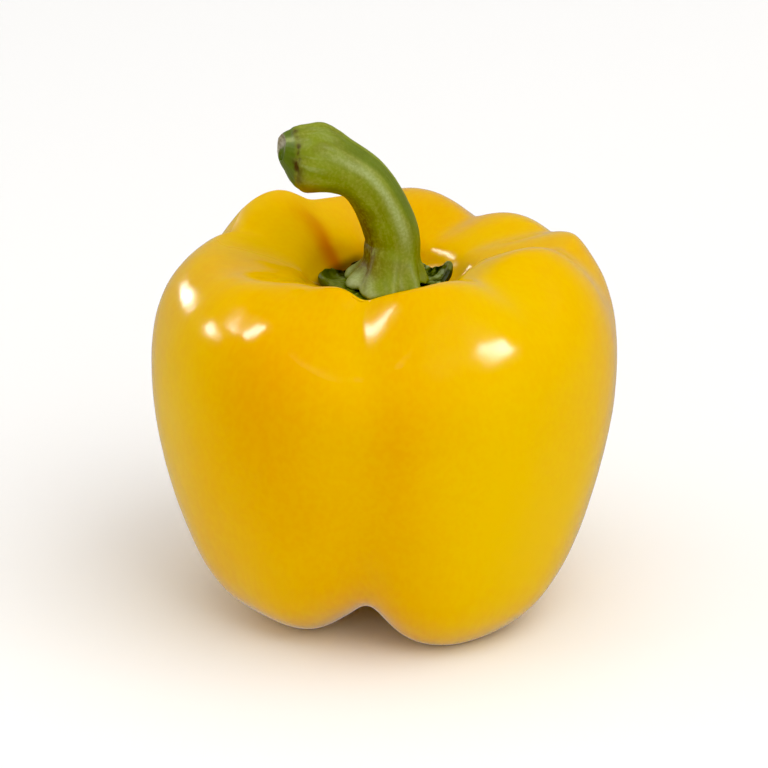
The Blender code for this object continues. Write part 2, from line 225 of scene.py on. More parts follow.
class NodeSheet:
    """A material whose node tree is put together a node at a time."""

    def __init__(self, name: str) -> None:
        """Starts a material with its surface shader only.

        Args:
            name: The material's name.
        """
        self.material = bpy.data.materials.new(name)
        self.material.use_nodes = True
        self.tree = self.material.node_tree
        self.shader = self.tree.nodes["Principled BSDF"]
        self.place = self.tree.nodes.new("ShaderNodeTexCoord").outputs["Object"]

    def link(self, value: object, socket: Socket) -> None:
        """Feeds a socket from another one, or sets it to a plain value.

        Args:
            value: An output socket, a number or a colour.
            socket: The input that takes it.
        """
        if isinstance(value, Socket):
            self.tree.links.new(value, socket)
        elif isinstance(value, tuple) and socket.type == "RGBA":
            socket.default_value = (*value, 1.0)
        else:
            socket.default_value = value

    def layer(self, layer: Layer) -> Socket:
        """The number that the piece's points carry.

        Args:
            layer: Which of their numbers.

        Returns:
            The output with the number.
        """
        node = self.tree.nodes.new("ShaderNodeAttribute")
        node.attribute_name = layer.value
        return node.outputs["Fac"]

    def flow(self) -> Socket:
        """The coordinates that run round and along the piece.

        Returns:
            The output with the coordinates.
        """
        node = self.tree.nodes.new("ShaderNodeAttribute")
        node.attribute_name = Layer.FLOW.value
        return node.outputs["Vector"]

    def mottle(self, size: float, detail: float, where: object = None) -> Socket:
        """Cloudy unevenness from 0 to 1.

        Args:
            size: Distance from one cloud to the next, in metres.
            detail: How many finer layers are added up.
            where: The coordinates it lies in, or None for the object's own.

        Returns:
            The output with the unevenness.
        """
        node = self.tree.nodes.new("ShaderNodeTexNoise")
        self.link(where or self.place, node.inputs["Vector"])
        node.inputs["Scale"].default_value = 1.0 / size
        node.inputs["Detail"].default_value = detail
        return node.outputs["Fac"]

    def span(self, value: object, ends: Range) -> Socket:
        """Stretches a range of values to another range, smoothly and without going past its ends.

        Args:
            value: The values.
            ends: The low and high end of their range, and what these become.

        Returns:
            The output with the new values.
        """
        node = self.tree.nodes.new("ShaderNodeMapRange")
        node.interpolation_type = "SMOOTHSTEP"
        self.link(value, node.inputs["Value"])
        for name, number in zip(("From Min", "From Max", "To Min", "To Max"), ends):
            self.link(number, node.inputs[name])
        return node.outputs["Result"]

    def sum(self, kind: Join, first: object, second: object, clamp: bool = False) -> Socket:
        """A sum or product of two values.

        Args:
            kind: Which of the two.
            first: The first value.
            second: The second value.
            clamp: Whether the result is kept between 0 and 1.

        Returns:
            The output with the result.
        """
        node = self.tree.nodes.new("ShaderNodeMath")
        node.operation = kind.value
        node.use_clamp = clamp
        self.link(first, node.inputs[0])
        self.link(second, node.inputs[1])
        return node.outputs[0]

    def blend(self, share: object, first: object, second: object) -> Socket:
        """A colour between two others.

        Args:
            share: 0 for the first colour to 1 for the second.
            first: The first colour.
            second: The second colour.

        Returns:
            The output with the colour.
        """
        node = self.tree.nodes.new("ShaderNodeMix")
        node.data_type = "RGBA"
        self.link(share, node.inputs["Factor"])
        self.link(first, node.inputs[MIX_FIRST])
        self.link(second, node.inputs[MIX_SECOND])
        return node.outputs[MIX_RESULT]

    def relief(self, height: object, depth: float, onto: object = None) -> Socket:
        """Fine relief for the shader's normal.

        Args:
            height: Values from 0, low, to 1, high.
            depth: How deep it is, in metres.
            onto: A normal that it is added to, or None.

        Returns:
            The output with the normal.
        """
        node = self.tree.nodes.new("ShaderNodeBump")
        node.inputs["Distance"].default_value = depth
        self.link(height, node.inputs["Height"])
        if onto is not None:
            self.link(onto, node.inputs["Normal"])
        return node.outputs["Normal"]

    def finish(self, **sockets: object) -> bpy.types.Material:
        """Feeds the surface shader.

        Args:
            **sockets: Values by the names of its inputs, with underscores for spaces.

        Returns:
            The finished material.
        """
        for name, value in sockets.items():
            self.link(value, self.shader.inputs[name.replace("_", " ")])
        return self.material


@dataclass(frozen=True)
class SkinFinish:
    """The glossy yellow skin of the fruit."""

    # Lemon and amber tones of ripeness. The blushes also use them to paint light and shade.
    lemon: Colour = (0.76, 0.475, 0.001)
    amber: Colour = (0.71, 0.315, 0.001)
    # Orange of the painted shade in the hollow's fold and at its foot.
    deep: Colour = (0.58, 0.180, 0.001)
    # Brown of the blossom end, also used for the painted shadow round the calyx.
    blossom: Colour = (0.10, 0.055, 0.02)
    cloud: float = 0.026
    cloud_range: Range = (0.30, 0.70, -0.11, 0.13)
    streak: float = 0.0011
    streak_range: Range = (0.35, 0.65, -0.07, 0.07)
    wax: float = 0.006
    wax_range: Range = (0.3, 0.7, 0.12, 0.18)
    dull_range: Range = (0.0, 1.0, 0.0, 0.80)
    peel: float = 0.0009
    peel_depth: float = 0.000006
    dimple: float = 0.0042
    dimple_depth: float = 0.00004
    specular: float = 0.20
    glow: float = 0.25
    glow_colour: Colour = (1.0, 0.5, 0.05)
    glow_reach: float = 0.004

    def material(self) -> bpy.types.Material:
        """Clouded yellow under a clear, faintly uneven wax.

        Returns:
            The finished material.
        """
        sheet = NodeSheet("yellow_skin_wax")
        cloud = sheet.span(sheet.mottle(self.cloud, 2.0, sheet.flow()), self.cloud_range)
        streak = sheet.span(sheet.mottle(self.streak, 3.0, sheet.flow()), self.streak_range)
        # Ripeness with painted light and shade, plus clouds and streaks.
        warm_and_shaded = sheet.sum(Join.ADD, sheet.layer(Layer.BLUSH_AND_SHADING), cloud)
        warm_and_shaded = sheet.sum(Join.ADD, warm_and_shaded, streak, clamp=True)
        colour = sheet.blend(warm_and_shaded, self.lemon, self.amber)
        # Painted shade: deep orange in the fold and at the foot of the hollow.
        colour = sheet.blend(sheet.layer(Layer.FOLD), colour, self.deep)
        # Brown blossom end, and painted shadow in the gap round the calyx.
        colour = sheet.blend(sheet.layer(Layer.SCAR), colour, self.blossom)
        gloss = sheet.span(sheet.mottle(self.wax, 3.0), self.wax_range)
        gloss = sheet.sum(Join.ADD, gloss, sheet.span(sheet.layer(Layer.DULL), self.dull_range))
        relief = sheet.relief(sheet.mottle(self.peel, 1.0), self.peel_depth)
        relief = sheet.relief(sheet.mottle(self.dimple, 2.0), self.dimple_depth, relief)
        return sheet.finish(
            Base_Color=colour,
            Roughness=gloss,
            Normal=relief,
            Specular_IOR_Level=self.specular,
            Subsurface_Weight=self.glow,
            Subsurface_Radius=self.glow_colour,
            Subsurface_Scale=self.glow_reach,
        )


@dataclass(frozen=True)
class LeafFinish:
    """The wrinkled green flesh of the calyx."""

    # dark is painted shade in the wrinkles, leaf is the calyx's own green, and pale is a painted highlight on
    # the wrinkles' tops.
    dark: Colour = (0.026, 0.036, 0.004)
    leaf: Colour = (0.115, 0.140, 0.018)
    leaf_range: Range = (0.20, 0.65, 0.0, 1.0)
    pale: Colour = (0.30, 0.37, 0.15)
    pale_range: Range = (0.72, 1.05, 0.0, 0.7)
    # Colour of the painted shadow behind the calyx.
    shadow: Colour = (0.014, 0.010, 0.002)
    # Fresh green of the front, also used as painted light at the left.
    fresh: Colour = (0.165, 0.205, 0.015)
    fleck: float = 0.0009
    fleck_range: Range = (0.3, 0.7, -0.2, 0.2)
    grain: float = 0.0006
    grain_depth: float = 0.00008
    roughness: float = 0.5
    specular: float = 0.15

    def material(self) -> bpy.types.Material:
        """Green with painted shade in the wrinkles and painted highlights on their tops, a painted shadow
        behind, fresh green in front and painted light at the left.

        Returns:
            The finished material.
        """
        sheet = NodeSheet("calyx_leaf_green")
        # Painted light and shade: dark in the wrinkles and on faces turned down, pale on the wrinkles' tops.
        flecks = sheet.span(sheet.mottle(self.fleck, 3.0), self.fleck_range)
        crest = sheet.sum(Join.ADD, sheet.layer(Layer.CREST), flecks)
        colour = sheet.blend(sheet.span(crest, self.leaf_range), self.dark, self.leaf)
        colour = sheet.blend(sheet.span(crest, self.pale_range), colour, self.pale)
        colour = sheet.blend(sheet.layer(Layer.FRESH_AND_PAINTED_LIGHT), colour, self.fresh)
        colour = sheet.blend(sheet.layer(Layer.SHADE), colour, self.shadow)
        return sheet.finish(
            Base_Color=colour,
            Roughness=self.roughness,
            Normal=sheet.relief(sheet.mottle(self.grain, 2.0), self.grain_depth),
            Specular_IOR_Level=self.specular,
        )


@dataclass(frozen=True)
class StalkFinish:
    """The ribbed green stem."""

    bright: Colour = (0.190, 0.235, 0.012)
    # Olive of the stem's inner side, darkened as painted shade under the bend.
    olive_and_shade: Colour = (0.130, 0.090, 0.004)
    moss: Colour = (0.275, 0.300, 0.040)
    # Colour of the pale ribs and of the painted sheen.
    pale: Colour = (0.360, 0.420, 0.165)
    dark: Colour = (0.075, 0.125, 0.006)
    cork: Colour = (0.060, 0.032, 0.005)
    rust: Colour = (0.260, 0.130, 0.003)
    pith: Colour = (0.40, 0.37, 0.26)
    fibre: Colour = (0.26, 0.23, 0.15)
    speck: float = 0.00055
    speck_range: Range = (0.38, 0.70, -0.15, 0.35)
    cloud: float = 0.0035
    cloud_range: Range = (0.3, 0.7, -0.20, 0.20)
    streak: float = 0.0012
    streak_range: Range = (0.38, 0.70, 0.0, 0.45)
    pale_range: Range = (-0.10, 0.15, 0.72, 1.0)
    patch: float = 0.0016
    patch_range: Range = (0.34, 0.56, 0.30, 1.0)
    strand: float = 0.0007
    strand_range: Range = (0.35, 0.65, 0.0, 1.0)
    grain: float = 0.0005
    grain_depth: float = 0.00005
    roughness: float = 0.5
    specular: float = 0.16

    def material(self) -> bpy.types.Material:
        """Green that turns olive with painted shade under the bend, with pale ribs, a painted sheen, a corky
        scar and a dry cut.

        Returns:
            The finished material.
        """
        sheet = NodeSheet("stem_ribbed_green")
        flow = sheet.flow()
        speck = sheet.span(sheet.mottle(self.speck, 2.0), self.speck_range)
        cloud = sheet.span(sheet.mottle(self.cloud, 3.0), self.cloud_range)
        shade = sheet.sum(Join.ADD, sheet.layer(Layer.SHADE), cloud, clamp=True)
        colour = sheet.blend(shade, self.bright, self.olive_and_shade)
        streak = sheet.span(sheet.mottle(self.streak, 3.0, flow), self.streak_range)
        streak = sheet.sum(Join.ADD, streak, speck, clamp=True)
        colour = sheet.blend(streak, colour, self.moss)
        colour = sheet.blend(sheet.layer(Layer.STAIN), colour, self.rust)
        colour = sheet.blend(sheet.layer(Layer.DARK), colour, self.dark)
        # Painted sheen and pale ribs, broken up by the specks.
        pale = sheet.sum(Join.MULTIPLY, sheet.layer(Layer.PALE_AND_SHEEN), sheet.span(speck, self.pale_range))
        colour = sheet.blend(pale, colour, self.pale)
        patches = sheet.span(sheet.mottle(self.patch, 4.0), self.patch_range)
        colour = sheet.blend(sheet.sum(Join.MULTIPLY, sheet.layer(Layer.SCAR), patches), colour, self.cork)
        strands = sheet.span(sheet.mottle(self.strand, 2.0), self.strand_range)
        cut = sheet.blend(strands, self.pith, self.fibre)
        colour = sheet.blend(sheet.layer(Layer.CUT), colour, cut)
        return sheet.finish(
            Base_Color=colour,
            Roughness=self.roughness,
            Normal=sheet.relief(sheet.mottle(self.grain, 2.0, flow), self.grain_depth),
            Specular_IOR_Level=self.specular,
        )


@dataclass
class GrownPart:
    """A piece of the plant that keeps its CAD form and gains its fine surface here.

    Attributes:
        node: The CAD node that it stands for.
        name: The piece's own name.
        slot: The record's material slot; not used.
        levels: How often each face is divided.
    """

    node: str
    name: str
    slot: str
    levels: int

    def welded_copy(self) -> bmesh.types.BMesh:
        """The CAD node's mesh with its points merged and its triangles joined to four-sided faces.

        Returns:
            The mesh, for the caller to free.
        """
        bm = bmesh.new()
        bm.from_mesh(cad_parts[self.node].data)
        bmesh.ops.remove_doubles(bm, verts=bm.verts, dist=WELD)
        bmesh.ops.join_triangles(
            bm,
            faces=bm.faces,
            angle_face_threshold=math.radians(JOIN_BEND),
            angle_shape_threshold=math.radians(JOIN_LEAN),
        )
        return bm

    def divided(self, bm: bmesh.types.BMesh) -> bpy.types.Mesh:
        """The smooth surface through a coarse one.

        Args:
            bm: The coarse mesh, which is used up.

        Returns:
            The mesh after its divisions.
        """
        cage = bpy.data.meshes.new(f"{self.name}_cage")
        bm.to_mesh(cage)
        bm.free()
        holder = bpy.data.objects.new(f"{self.name}_cage", cage)
        bpy.context.scene.collection.objects.link(holder)
        smooth = holder.modifiers.new("smooth", "SUBSURF")
        smooth.levels = smooth.render_levels = self.levels
        fine = bpy.data.meshes.new_from_object(holder.evaluated_get(bpy.context.evaluated_depsgraph_get()))
        bpy.data.objects.remove(holder)
        bpy.data.meshes.remove(cage)
        return fine

    @staticmethod
    def read(mesh: bpy.types.Mesh, field: str = "co") -> Array:
        """The places or normals of a mesh's points.

        Args:
            mesh: The mesh.
            field: Which of the two, as co or normal.

        Returns:
            Three numbers for each point, one row each.
        """
        values = np.empty(len(mesh.vertices) * 3, np.float32)
        mesh.vertices.foreach_get(field, values)
        return values.reshape(-1, 3).astype(float)

    @staticmethod
    def move(mesh: bpy.types.Mesh, points: Array) -> None:
        """Puts the points of a mesh at new places."""
        mesh.vertices.foreach_set("co", points.astype(np.float32).ravel())
        mesh.update()

    @staticmethod
    def carry(mesh: bpy.types.Mesh, layer: Layer, values: Array) -> None:
        """Lets the mesh's points carry numbers for the material.

        Args:
            mesh: The mesh.
            layer: What the numbers are.
            values: A number for each point, or a row of three for the flow.
        """
        kind, field = ("FLOAT", "value") if values.ndim == 1 else ("FLOAT_VECTOR", "vector")
        attribute = mesh.attributes.new(layer.value, kind, "POINT")
        attribute.data.foreach_set(field, values.astype(np.float32).ravel())

    def place(self, mesh: bpy.types.Mesh, material: bpy.types.Material) -> None:
        """Makes the finished mesh a piece that stands for its CAD node.

        Args:
            mesh: The mesh in its place.
            material: Its finish.
        """
        mesh.name = self.name
        mesh.materials.clear()
        mesh.materials.append(material)
        mesh.shade_smooth()
        piece = bpy.data.objects.new(self.name, mesh)
        bpy.context.scene.collection.objects.link(piece)
        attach(piece, BODY)
        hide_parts(self.node)
        mesh.calc_loop_triangles()
        log.info("%s stands for %s: %d triangles", self.name, self.node, len(mesh.loop_triangles))


@dataclass
class Fruit(GrownPart):
    """The one-piece yellow body.

    Places along its wall are angles in degrees, seen from a ring inside the fruit: -90 at the blossom end,
    0 on the flank, 90 on the shoulder and more in the hollow on top. Its ramps go by them, but for off_floor,
    which goes by the height above the table, as the blushes and their painted shading do.
    """

    node: str = "fruit"
    name: str = "pepper_fruit"
    slot: str = "yellow_skin"
    levels: int = 2
    core_radius: float = 20.0
    core_height: float = 40.0
    flow_radius: float = 40.0
    flow_stretch: float = 3.0
    off_floor: Ramp = Ramp(0.0, 3.0)
    dent_size: float = 9.0
    uneven: float = 0.06
    ripple_size: float = 3.2
    ripple_depth: float = 0.035
    hollow: Ramp = Ramp(78.0, 22.0)
    hollow_calm: float = 0.5
    rim_swell: Patch = Patch(turn=247, along=84.5, spread=12, reach=5, strength=1.15)
    base_warmth: float = 0.36
    # Patches of amber (positive) or lemon (negative). They are partly ripeness, partly painted shade in the
    # front crease and on the left, and painted light on the right, on the hollow's left wall and along the
    # left edge.
    blushes_and_shading: tuple[Patch, ...] = (
        Patch(turn=238, along=52, spread=15, reach=15, strength=0.44),
        Patch(turn=208, along=40, spread=16, reach=25, strength=-0.08),
        Patch(turn=262, along=20, spread=22, reach=26, strength=0.22),
        Patch(turn=273, along=46, spread=7, reach=24, strength=0.24),
        Patch(turn=316, along=45, spread=30, reach=40, strength=-0.50),
        Patch(turn=238, along=66, spread=20, reach=7, strength=-0.12),
        Patch(turn=120, along=50, spread=40, reach=30, strength=0.15),
        Patch(turn=40, along=40, spread=30, reach=30, strength=-0.15),
        Patch(turn=142, along=66, spread=40, reach=12, strength=-0.28),
        Patch(turn=196, along=38, spread=14, reach=24, strength=-0.25),
    )
    # Course of the fold's painted shade: place along the wall and azimuth.
    fold_path: tuple[tuple[float, float], ...] = (
        (84.0, 133.0),
        (90.0, 131.0),
        (96.0, 133.0),
        (102.0, 136.5),
        (110.0, 134.0),
    )
    fold_left: float = 10.0
    fold_right: float = 5.5
    fold_start: Ramp = Ramp(78.0, 16.0)
    fold_shade: float = 0.72
    fold_deepening: float = 0.28
    fold_deep: Ramp = Ramp(92.0, 12.0)
    foot_shade: float = 0.05
    foot_start: Ramp = Ramp(102.0, 10.0)
    dull_side: Sector = Sector(135.0, reach=48.0, fade=32.0)
    dull_start: Ramp = Ramp(60.0, 14.0)
    blossom_radius: float = 3.4
    blossom_ragged: float = 0.8
    blossom_grain: float = 1.5
    blossom_fade: float = 1.2
    blossom_top: float = 20.0
    # Painted shadow in the gap between the calyx and the fruit's wall.
    gap_shadow: float = 0.85
    gap_start: Ramp = Ramp(107.0, 4.0)
    gap_side: Sector = Sector(145.0, reach=48.0, fade=22.0)

    def around(self, points: Array) -> tuple[Array, Array]:
        """Where the points are on the fruit.

        Args:
            points: Places in millimetres.

        Returns:
            Their azimuths and their places along the wall.
        """
        azimuths = np.degrees(np.arctan2(points[:, 1], points[:, 0]))
        out = np.hypot(points[:, 0], points[:, 1]) - self.core_radius
        return azimuths, np.degrees(np.arctan2(points[:, 2] - self.core_height, out))

    def flow(self, azimuths: Array, along: Array) -> Array:
        """Coordinates that run round and along the fruit.

        Args:
            azimuths: Azimuths of the points.
            along: Their places along the wall.

        Returns:
            The coordinates in millimetres, one row each.
        """
        turn = np.radians(azimuths)
        across = (np.cos(turn) * self.flow_radius, np.sin(turn) * self.flow_radius)
        return np.stack([*across, along / self.flow_stretch], axis=1)

    def relief(self, points: Array, azimuths: Array, along: Array) -> Array:
        """How far the skin stands out from the CAD form.

        Args:
            points: Places in millimetres.
            azimuths: Their azimuths.
            along: Their places along the wall.

        Returns:
            A height in millimetres for each point.
        """
        ripples = grain(self.flow(azimuths, along), self.ripple_size) * self.ripple_depth
        heights = grain(points, self.dent_size, 3) * self.uneven + ripples
        heights *= 1.0 - self.hollow_calm * self.hollow.at(along)
        heights += self.rim_swell.at(azimuths, along)
        return heights * self.off_floor.at(points[:, 2])

    def warmth_and_shading(self, azimuths: Array, heights: Array) -> Array:
        """How ripe the skin is, with painted light and shade mixed into its colour.

        Args:
            azimuths: Azimuths of the points.
            heights: Their heights above the table.

        Returns:
            A value for each point, from 0 for lemon yellow to 1 for amber.
        """
        total = np.full(len(azimuths), self.base_warmth)
        for patch in self.blushes_and_shading:
            total += patch.at(azimuths, heights)
        return np.clip(total, 0.0, 1.0)

    def fold(self, azimuths: Array, along: Array) -> Array:
        """How deep the orange painted shade is: strong in the fold behind the stem, faint round the foot of
        the hollow.

        Args:
            azimuths: Azimuths of the points.
            along: Their places along the wall.

        Returns:
            A value for each point, from 0 to 1.
        """
        stations, middles = zip(*self.fold_path)
        away = turn_between(azimuths, np.interp(along, stations, middles))
        width = np.where(away > 0.0, self.fold_left, self.fold_right)
        streak = hump(away, 0.0, width) * self.fold_start.at(along)
        painted_shade = self.fold_shade + self.fold_deepening * self.fold_deep.at(along)
        return np.clip(painted_shade * streak + self.foot_shade * self.foot_start.at(along), 0.0, 1.0)

    def scar(self, points: Array, azimuths: Array, along: Array) -> Array:
        """How brown the skin is at the blossom end, and how dark the painted shadow in the gap round the calyx
        is.

        Args:
            points: Places in millimetres.
            azimuths: Their azimuths.
            along: Their places along the wall.

        Returns:
            A value for each point, from 0 to 1.
        """
        edge = self.blossom_radius + self.blossom_ragged * grain(points, self.blossom_grain)
        out = np.hypot(points[:, 0], points[:, 1])
        blossom = ease((edge - out) / self.blossom_fade) * (points[:, 2] < self.blossom_top)
        return np.maximum(blossom, self.gap_shadow * self.gap_start.at(along) * self.gap_side.around(azimuths))

    def build(self) -> None:
        """Makes the fruit with its fine unevenness, and its skin."""
        mesh = self.divided(self.welded_copy())
        points, normals = self.read(mesh) / MM, self.read(mesh, "normal")
        azimuths, along = self.around(points)
        heights = self.relief(points, azimuths, along)
        self.move(mesh, (points + normals * heights[:, None]) * MM)
        self.carry(mesh, Layer.FLOW, self.flow(azimuths, along) * MM)
        self.carry(mesh, Layer.BLUSH_AND_SHADING, self.warmth_and_shading(azimuths, points[:, 2]))
        self.carry(mesh, Layer.FOLD, self.fold(azimuths, along))
        self.carry(mesh, Layer.DULL, self.dull_side.around(azimuths) * self.dull_start.at(along))
        self.carry(mesh, Layer.SCAR, self.scar(points, azimuths, along))
        self.place(mesh, SkinFinish().material())


@dataclass
class Calyx(GrownPart):
    """The green disc between the stem and the fruit."""

    node: str = "calyx"
    name: str = "pepper_calyx"
    slot: str = "calyx_green"
    levels: int = 3
    wrinkle: float = 0.42
    spoke_radius: float = 7.0
    spoke_stretch: float = 0.4
    fold_size: float = 1.5
    fold_weight: float = 0.9
    bead_size: float = 1.1
    bead_weight: float = 0.4
    upright: float = 0.2
    upward_gain: float = 1.5
    wrinkle_start: Ramp = Ramp(5.0, 3.0)
    # How much of the crests is kept on faces that turn down. The rest darkens as painted shade.
    edge_crest: float = 0.25
    front: Sector = Sector(-98.0, reach=48.0, fade=20.0)
    # Painted light at the calyx's left, where it lies in low light.
    left: Sector = Sector(190.0, reach=40.0, fade=20.0)
    left_painted_light: float = 0.7
    fresh_low: float = 0.65
    # Painted shadow on the calyx's back, in the gap under the fruit's wall: where it is, and how strong.
    behind: Sector = Sector(122.0, reach=56.0, fade=16.0)
    brown: float = 0.9

    def crests(self, points: Array, turn: Array, out: Array) -> Array:
        """The wrinkles, which run outwards from the stem.

        Args:
            points: Places in millimetres.
            turn: Their directions from the middle, in radians.
            out: Their distances from the middle.

        Returns:
            A value for each point, from 0 in a wrinkle to 1 on its top.
        """
        across = (self.spoke_radius * np.cos(turn), self.spoke_radius * np.sin(turn))
        folds = grain(np.stack([*across, self.spoke_stretch * out], axis=1), self.fold_size, 3)
        beads = grain(points, self.bead_size)
        return np.clip(0.5 + self.fold_weight * folds + self.bead_weight * beads, 0.0, 1.0)

    def build(self) -> None:
        """Makes the calyx with wrinkles that run out to its edge."""
        mesh = self.divided(self.welded_copy())
        points, normals = self.read(mesh) / MM, self.read(mesh, "normal")
        middle = (points.min(0) + points.max(0)) / 2.0
        away = points[:, :2] - middle[:2]
        turn, out = np.arctan2(away[:, 1], away[:, 0]), np.hypot(away[:, 0], away[:, 1])
        crest = self.crests(points, turn, out)
        upward = ease(normals[:, 2] * self.upward_gain + self.upright)
        heights = self.wrinkle * (crest - 0.5) * upward * self.wrinkle_start.at(out)
        self.move(mesh, (points + normals * heights[:, None]) * MM)

        azimuths = np.degrees(turn)
        # Fresh green in front, like the stem's foot, and lighter green painted at the left where the calyx
        # lies in low light.
        fresh = np.maximum(self.front.around(azimuths), self.left_painted_light * self.left.around(azimuths))
        # Painted light and shade: the crests fade to dark where the surface turns away from the sky.
        self.carry(mesh, Layer.CREST, crest * (self.edge_crest + (1.0 - self.edge_crest) * upward))
        self.carry(mesh, Layer.FRESH_AND_PAINTED_LIGHT, fresh * (self.fresh_low + (1.0 - self.fresh_low) * crest))
        # Painted shadow on the calyx's back.
        self.carry(mesh, Layer.SHADE, self.brown * self.behind.around(azimuths) * (1.0 - fresh))
        self.place(mesh, LeafFinish().material())


@dataclass(frozen=True)
class FootRib:
    """A rib of the stem's foot.

    Attributes:
        turn: Where it is, in degrees round the stem from its inner side, past the front.
        spread: How wide it is, in degrees.
        rise: How far it stands out, in millimetres.
        paleness: How pale it is. The more this is above 1, the wider its pale part is.
    """

    turn: float
    spread: float
    rise: float
    paleness: float


@dataclass(frozen=True)
class Station:
    """A point of the stem's centre line in millimetres."""

    x: float
    y: float
    z: float


@dataclass(frozen=True)
class StemPlaces:
    """Where the points of the stem's mesh are.

    Attributes:
        points: The points themselves, in millimetres.
        along: Their share of the way along the stem.
        turn: Their angle round it in degrees: 0 under the bend, 90 in front and 180 on top.
        level: The cosine of that angle.
        out: Their distance from its centre line.
        flow: Coordinates that run round and along it.
        past: How far past the scar they are, as a share of the stem's length.
        ribs: The fine ribs, from about -1 to 1.
    """

    points: Array
    along: Array
    turn: Array
    level: Array
    out: Array
    flow: Array
    past: Array
    ribs: Array


@dataclass
class Stem(GrownPart):
    """The ribbed stem, bent to one side and swollen at its cut end.

    Places along it are shares of its length, from 0 at its foot to 1 at its cut. What starts the foot, the
    toe and the shaft, and the pinch's band, go by the height above the table, and cut_rim by the distance from
    the centre line. The scar's line and spots, the groove, the step and the collar go by how far past the scar
    a place is. Where a size is two numbers, the second is added to the first: on the knob for ribs and lumps,
    on top for the step, on the inner side for the olive and its painted shade and towards the foot for the
    painted sheen.
    """

    node: str = "stem"
    name: str = "pepper_stem"
    slot: str = "stem_green"
    levels: int = 2
    stations: tuple[Station, ...] = (
        Station(0.4, -1.5, 63.3),
        Station(0.7, -0.5, 65.3),
        Station(1.0, 0.2, 67.0),
        Station(1.5, 0.7, 69.3),
        Station(1.1, 0.7, 72.2),
        Station(-0.5, 0.5, 76.6),
        Station(-2.5, 0.3, 80.3),
        Station(-4.8, 0.1, 82.9),
        Station(-8.4, -0.2, 84.9),
        Station(-11.7, -0.5, 86.3),
        Station(-13.5, -0.6, 86.7),
        Station(-15.5, -0.7, 87.2),
        Station(-17.3, -0.8, 87.9),
        Station(-19.0, -0.9, 88.7),
    )
    steps: int = 240
    blur: int = 13
    girth: float = 5.0
    flow_stretch: float = 0.14
    scar_spots: tuple[Patch, ...] = (
        Patch(turn=166, along=0.004, spread=13, reach=0.020, strength=1.00),
        Patch(turn=127, along=-0.008, spread=8, reach=0.014, strength=1.00),
        Patch(turn=110, along=-0.008, spread=16, reach=0.010, strength=0.75),
        Patch(turn=83, along=0.000, spread=14, reach=0.032, strength=1.00),
        Patch(turn=60, along=-0.010, spread=12, reach=0.024, strength=0.60),
        Patch(turn=-70, along=-0.004, spread=16, reach=0.022, strength=0.90),
        Patch(turn=-130, along=0.000, spread=14, reach=0.016, strength=0.80),
    )
    foot_ribs: tuple[FootRib, ...] = (
        FootRib(turn=24, spread=12, rise=0.50, paleness=1.25),
        FootRib(turn=58, spread=5, rise=0.35, paleness=0.70),
        FootRib(turn=98, spread=8, rise=0.10, paleness=0.10),
        FootRib(turn=140, spread=9, rise=0.12, paleness=0.10),
        FootRib(turn=-150, spread=8, rise=0.30, paleness=0.35),
        FootRib(turn=-105, spread=9, rise=0.35, paleness=0.45),
        FootRib(turn=-60, spread=6, rise=0.30, paleness=0.50),
        FootRib(turn=-18, spread=8, rise=0.40, paleness=0.60),
    )
    rib_size: float = 1.6
    rib_height: tuple[float, float] = (0.03, 0.10)
    lump_size: float = 3.0
    lump_height: tuple[float, float] = (0.05, 0.18)
    knob: Band = Band(0.84, 0.11)
    bulge: Patch = Patch(turn=38, along=0.87, spread=30, reach=0.05, strength=0.45)
    foot_start: Ramp = Ramp(66.8, -3.0)
    pinch: float = 1.0
    pinch_turn: Ramp = Ramp(65.0, -40.0)
    pinch_height: Band = Band(66.8, 2.2)
    toe: float = 1.7
    toe_turn: Band = Band(68.0, 28.0)
    toe_start: Ramp = Ramp(65.5, -2.5)
    scar_along: float = 0.915
    scar_slant: float = 0.055
    scar_ragged: float = 0.010
    scar_grain: float = 2.0
    scar_line: Band = Band(0.0, 0.012)
    line_strength: float = 0.45
    line_grain: float = 4.0
    line_gaps: Ramp = Ramp(-0.15, 0.4)
    scar_strength: float = 0.95
    groove: Band = Band(0.0, 0.015)
    groove_depth: float = 0.16
    step: Ramp = Ramp(0.0, 0.03)
    step_depth: tuple[float, float] = (0.20, 0.30)
    top: Ramp = Ramp(-0.3, -0.6)
    cut_start: Ramp = Ramp(0.985, 0.01)
    cut_rim: Ramp = Ramp(2.9, -0.5)
    inner: Ramp = Ramp(88.0, -50.0)
    shaft_end: Ramp = Ramp(0.72, -0.2)
    shaft_start: Ramp = Ramp(63.5, 3.5)
    # How much olive and painted shade there is: a base, and more on the inner side.
    olive_and_shade: tuple[float, float] = (0.08, 0.95)
    stain: Band = Band(0.83, 0.09)
    stain_strength: float = 0.80
    collar: Ramp = Ramp(0.0, 0.02)
    collar_dark: float = 0.85
    outer: Ramp = Ramp(132.0, 18.0)
    outer_end: Ramp = Ramp(0.84, -0.2)
    outer_start: Ramp = Ramp(0.10, 0.3)
    outer_dark: float = 0.60
    ridge: Band = Band(148.0, 9.0)
    ridge_gap: Band = Band(148.0, 10.0)
    ridge_gap_share: float = 0.9
    sheen_turn: float = 121.0
    sheen_width: tuple[float, float] = (9.0, 5.0)
    sheen_wide: Ramp = Ramp(0.5, -0.4)
    sheen_start: Ramp = Ramp(0.10, 0.20)
    sheen_end: Ramp = Ramp(0.90, -0.3)
    ray_ribs: Ramp = Ramp(-0.05, 0.25)
    ray_along: Band = Band(0.85, 0.06)
    ray_turn: Band = Band(125.0, 45.0)
    # Shares of the painted sheen, the rays and the ridge in the paleness.
    pale_shares: tuple[float, float, float] = (0.85, 0.55, 0.7)

